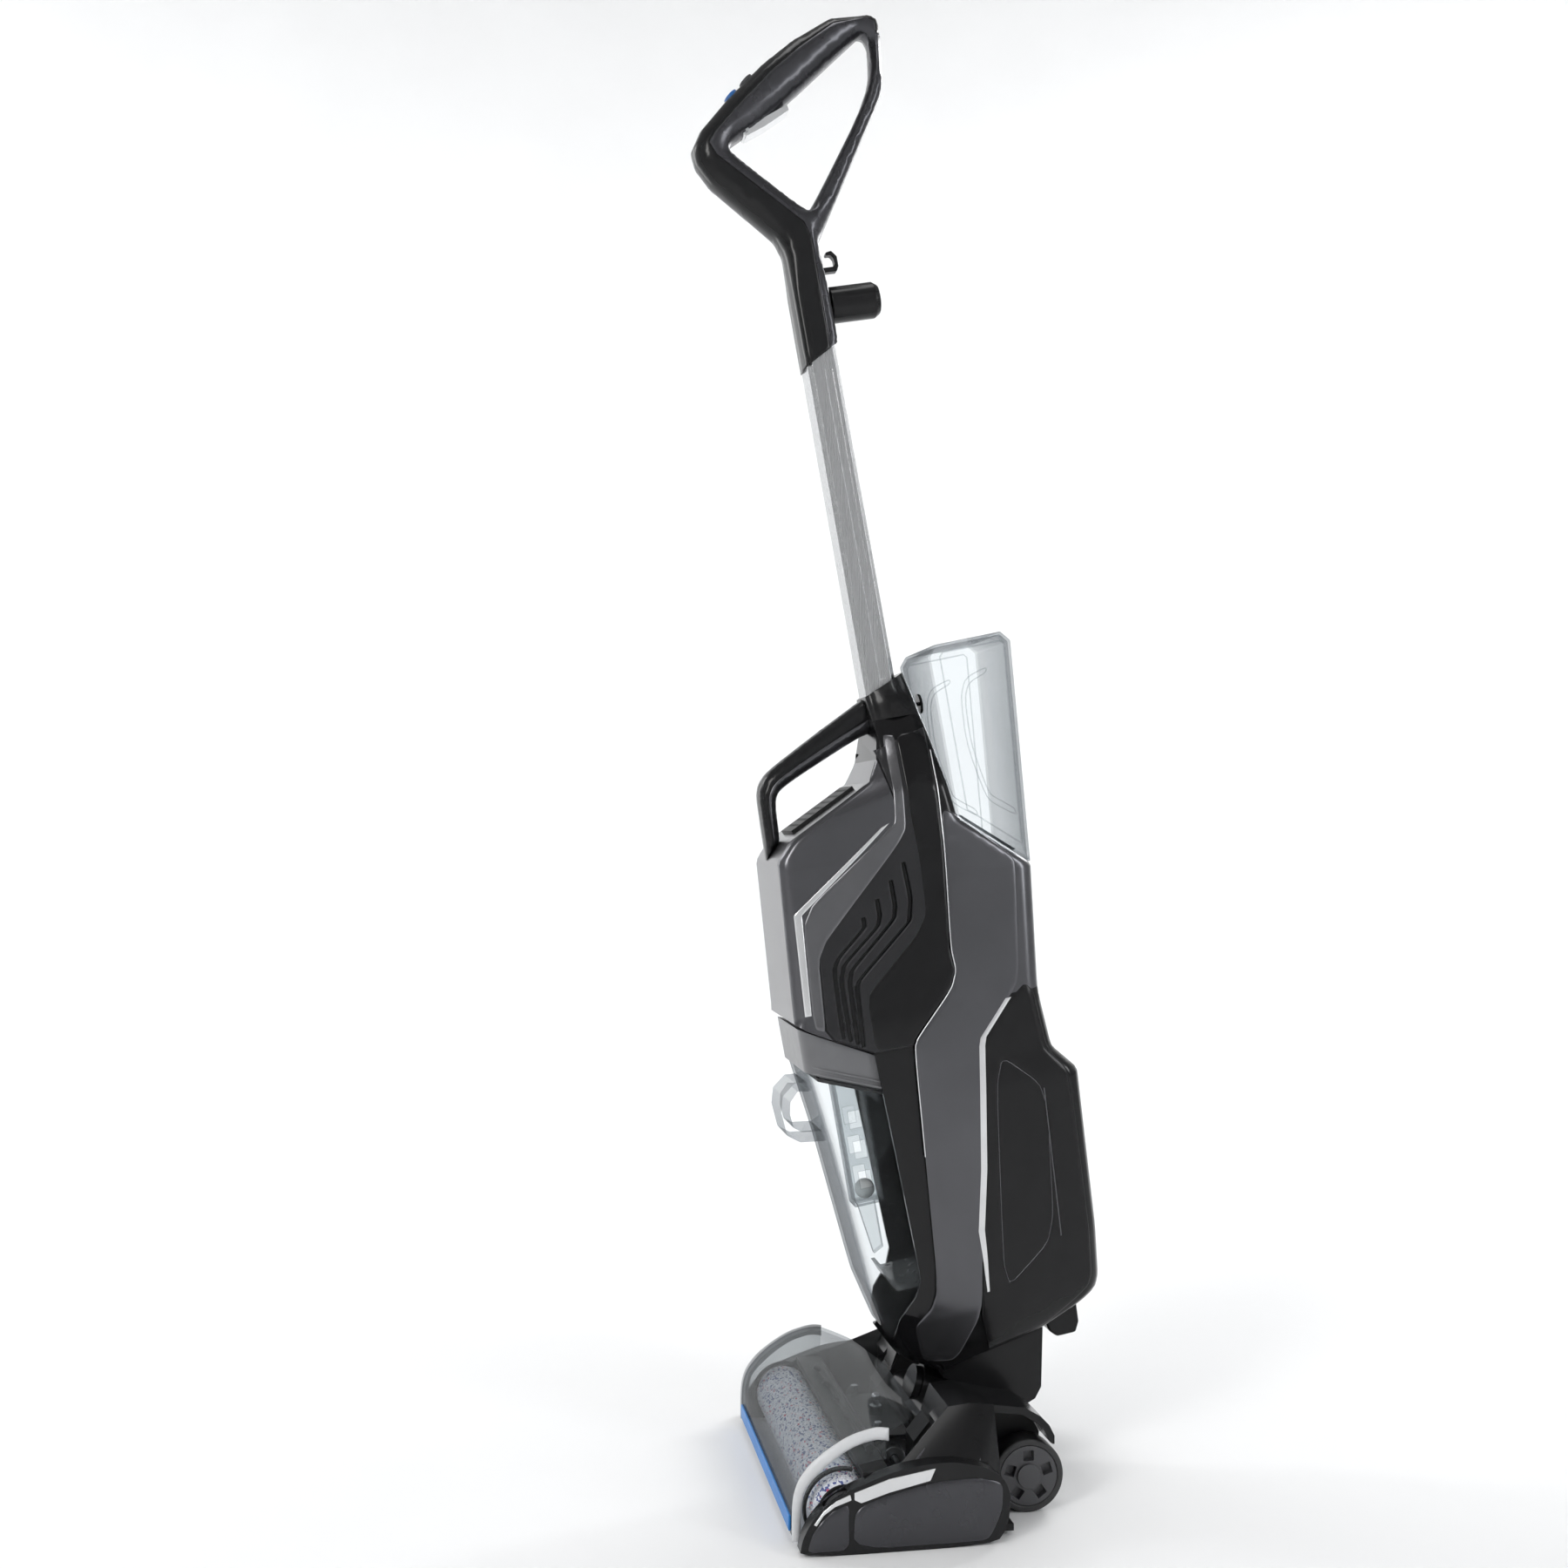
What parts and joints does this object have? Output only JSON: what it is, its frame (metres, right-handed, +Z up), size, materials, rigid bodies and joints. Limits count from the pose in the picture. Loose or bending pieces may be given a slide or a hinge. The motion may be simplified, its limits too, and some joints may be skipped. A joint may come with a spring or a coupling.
{
  "type": "wet dry floor scrubber",
  "caption": "Upright wet and dry floor scrubber with a microfibre roll, clear clean and dirty water tanks, steering neck and loop handle.",
  "frame": {"origin": "on the floor under the middle of the parked machine", "axes": "+X to the machine's left, -Y to its front, +Z up"},
  "size_m": [0.3, 0.3205, 1.1678],
  "materials": {
    "black_plastic": "satin black ABS",
    "grey_plastic": "metallic dark grey, satin",
    "silver_trim": "bright satin silver",
    "aluminium": "brushed, anodised",
    "clear_plastic": "clear moulded plastic",
    "light_grey_plastic": "light grey moulded plastic",
    "rubber": "soft black rubber",
    "tyre": "soft tread",
    "steel": "machined",
    "microfibre": "white looped microfibre with blue flecks",
    "blue_trim": "glossy blue",
    "pink_tab": "pink moulded plastic",
    "green_plastic": "moulded pump body",
    "button_blue": "soft touch"
  },
  "bodies": {
    "foot": {"foot_base": "black_plastic", "side_cover_left": "black_plastic", "side_cover_right": "black_plastic", "foot_side_panels": "grey_plastic", "head_trims": "silver_trim", "brush_motor": "steel", "drive_belt": "rubber", "spray_bar": "steel", "squeegee": "rubber", "wheel_axles": "steel", "foot_screws": "steel", "latch_pins": "silver_trim"},
    "wheel_left": {"wheel_left": "black_plastic", "tyre_left": "tyre"},
    "wheel_right": {"wheel_right": "black_plastic", "tyre_right": "tyre"},
    "motor_pulley": {"motor_pulley": "steel"},
    "drive_hub": {"drive_hub": "black_plastic"},
    "window": {"window_shell": "clear_plastic", "window_rim": "light_grey_plastic", "window_seal": "rubber", "bumper_strip": "blue_trim"},
    "roll_carrier": {"roll_end_tab": "pink_tab"},
    "roll": {"roll_core": "steel", "roll_pile": "microfibre", "roll_socket": "black_plastic"},
    "yoke": {"recline_yoke": "black_plastic"},
    "upright": {"swivel_neck": "black_plastic", "body_shell": "black_plastic", "motor_housing": "grey_plastic", "vent_panels": "black_plastic", "body_side_panels": "grey_plastic", "rear_cover": "black_plastic", "side_stripes": "silver_trim", "intake_grille": "black_plastic", "tube_collar": "black_plastic", "carry_handle": "black_plastic", "suction_motor": "steel", "water_pump": "green_plastic", "suction_duct": "black_plastic", "lower_cord_wrap": "black_plastic", "handle_tube": "aluminium", "handle_shell": "grey_plastic", "handle_band": "black_plastic", "cord_clip": "black_plastic", "trigger_pin": "steel", "trigger_spring": "steel"},
    "upper_wrap": {"upper_cord_wrap": "black_plastic"},
    "trigger": {"trigger": "silver_trim"},
    "power_button": {"power_button": "button_blue"},
    "mode_button": {"mode_button": "black_plastic"},
    "clean_tank": {"clean_tank": "clear_plastic", "clean_tank_cap": "black_plastic", "vent_valve": "black_plastic"},
    "dirty_tank": {"dirty_tank": "clear_plastic"},
    "lid": {"tank_lid": "grey_plastic", "lid_seal": "rubber", "float_cage": "clear_plastic"},
    "float": {"float_ball": "light_grey_plastic"},
    "strainer": {"strainer": "light_grey_plastic"}
  },
  "joints": [
    {"name": "wheel_left_spin", "type": "hinge", "parent": "foot", "child": "wheel_left", "pos_m": [0.088, 0.0836, 0.027], "axis": [1, 0, 0], "continuous": true},
    {"name": "wheel_right_spin", "type": "hinge", "parent": "foot", "child": "wheel_right", "pos_m": [-0.088, 0.0836, 0.027], "axis": [1, 0, 0], "continuous": true},
    {"name": "window_lift", "type": "slide", "parent": "foot", "child": "window", "axis": [0, -0.9781, 0.2079], "range_m": [0, 0.22]},
    {"name": "roll_out", "type": "slide", "parent": "foot", "child": "roll_carrier", "axis": [0, -1, 0], "range_m": [0, 0.0836]},
    {"name": "roll_spin", "type": "hinge", "parent": "roll_carrier", "child": "roll", "pos_m": [0, -0.0644, 0.024], "axis": [1, 0, 0], "continuous": true},
    {"name": "hub_spin", "type": "hinge", "parent": "foot", "child": "drive_hub", "pos_m": [0.142, -0.0644, 0.024], "axis": [1, 0, 0], "continuous": true},
    {"name": "pulley_spin", "type": "hinge", "parent": "foot", "child": "motor_pulley", "pos_m": [0.142, -0.0074, 0.027], "axis": [1, 0, 0], "continuous": true},
    {"name": "recline", "type": "hinge", "parent": "foot", "child": "yoke", "pos_m": [0, 0.0226, 0.05], "axis": [1, 0, 0], "range_deg": [-40, 0]},
    {"name": "swivel", "type": "hinge", "parent": "yoke", "child": "upright", "pos_m": [0, 0.0186, 0.068], "axis": [0, 0.9397, -0.342], "range_deg": [-15, 15]},
    {"name": "wrap_turn", "type": "hinge", "parent": "upright", "child": "upper_wrap", "pos_m": [0, -0.03506, 0.93328], "axis": [0, 0.9842, 0.1771], "range_deg": [0, 180]},
    {"name": "trigger_pull", "type": "hinge", "parent": "upright", "child": "trigger", "pos_m": [0, -0.11684, 1.06589], "axis": [1, 0, 0], "range_deg": [0, 6], "stiffness_Nm_per_rad": 1.2, "deforming": ["trigger_spring"]},
    {"name": "power_press", "type": "slide", "parent": "upright", "child": "power_button", "axis": [0, 0.7356, -0.6774], "range_m": [0, 0.0015], "stiffness_N_per_m": 900},
    {"name": "mode_press", "type": "slide", "parent": "upright", "child": "mode_button", "axis": [0, 0.7356, -0.6774], "range_m": [0, 0.0015], "stiffness_N_per_m": 900},
    {"name": "clean_tank_lift", "type": "slide", "parent": "upright", "child": "clean_tank", "axis": [0, -0.134, 0.991], "range_m": [0, 0.19]},
    {"name": "dirty_tank_out", "type": "slide", "parent": "upright", "child": "dirty_tank", "axis": [0, -0.9945, 0.1045], "range_m": [0, 0.19]},
    {"name": "lid_lift", "type": "slide", "parent": "dirty_tank", "child": "lid", "axis": [0, -0.1771, 0.9842], "range_m": [0, 0.0437]},
    {"name": "float_rise", "type": "slide", "parent": "lid", "child": "float", "axis": [0, -0.1771, 0.9842], "range_m": [0, 0.03]},
    {"name": "strainer_lift", "type": "slide", "parent": "dirty_tank", "child": "strainer", "axis": [0, -0.1771, 0.9842], "range_m": [0, 0.0228]}
  ],
  "couplings": [
    {"joint": "roll_out", "follows": "window_lift", "ratio": 0.38},
    {"joint": "hub_spin", "follows": "roll_spin", "ratio": 1},
    {"joint": "pulley_spin", "follows": "roll_spin", "ratio": 2.2857},
    {"joint": "lid_lift", "follows": "dirty_tank_out", "ratio": 0.23},
    {"joint": "strainer_lift", "follows": "dirty_tank_out", "ratio": 0.12}
  ]
}
